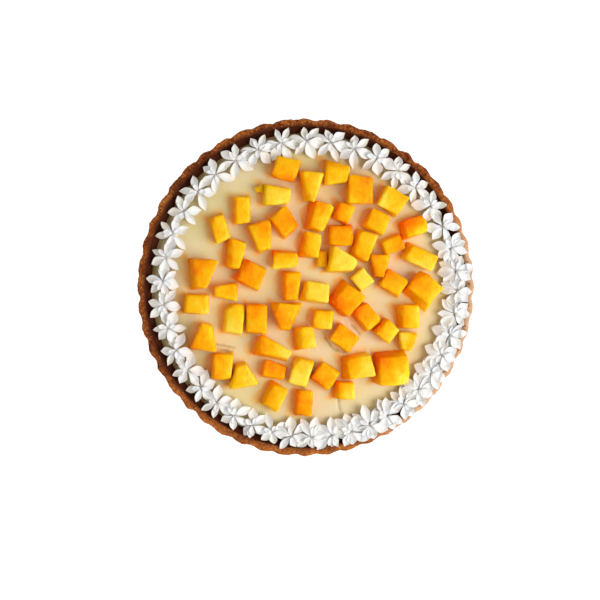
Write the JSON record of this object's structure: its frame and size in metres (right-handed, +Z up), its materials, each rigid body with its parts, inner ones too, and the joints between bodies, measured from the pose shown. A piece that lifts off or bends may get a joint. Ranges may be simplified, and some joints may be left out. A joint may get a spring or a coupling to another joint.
{
  "type": "fruit tart",
  "caption": "Round fluted biscuit tart with a custard filling, a border of piped cream flowers and diced mango on top.",
  "frame": {"origin": "middle of the flat underside of the crust, on the surface it stands on", "axes": "+Z up out of the filling; +Y to the top of the tart as seen from above and +X to the right; round, so no side is the front"},
  "size_m": [0.24, 0.24, 0.0349],
  "materials": {
    "crust": "dry crumbly baked biscuit",
    "custard": "smooth set custard, satin",
    "cream": "soft matt whipped cream",
    "mango": "moist cut fruit, glossy"
  },
  "bodies": {
    "root": {"crust": "crust", "custard": "custard", "cream_border": "cream", "mango_01": "mango", "mango_02": "mango", "mango_03": "mango", "mango_04": "mango", "mango_05": "mango", "mango_06": "mango", "mango_07": "mango", "mango_08": "mango", "mango_09": "mango", "mango_10": "mango", "mango_11": "mango", "mango_12": "mango", "mango_13": "mango", "mango_14": "mango", "mango_15": "mango", "mango_16": "mango", "mango_17": "mango", "mango_18": "mango", "mango_19": "mango", "mango_20": "mango", "mango_21": "mango", "mango_22": "mango", "mango_23": "mango", "mango_24": "mango", "mango_25": "mango", "mango_26": "mango", "mango_27": "mango", "mango_28": "mango", "mango_29": "mango", "mango_30": "mango", "mango_31": "mango", "mango_32": "mango", "mango_33": "mango", "mango_34": "mango", "mango_35": "mango", "mango_36": "mango", "mango_37": "mango", "mango_38": "mango", "mango_39": "mango", "mango_40": "mango", "mango_41": "mango", "mango_42": "mango", "mango_43": "mango", "mango_44": "mango", "mango_45": "mango", "mango_46": "mango", "mango_47": "mango", "mango_48": "mango", "mango_49": "mango", "mango_50": "mango", "mango_51": "mango", "mango_52": "mango", "mango_53": "mango", "mango_54": "mango", "mango_55": "mango", "mango_56": "mango"}
  },
  "joints": []
}
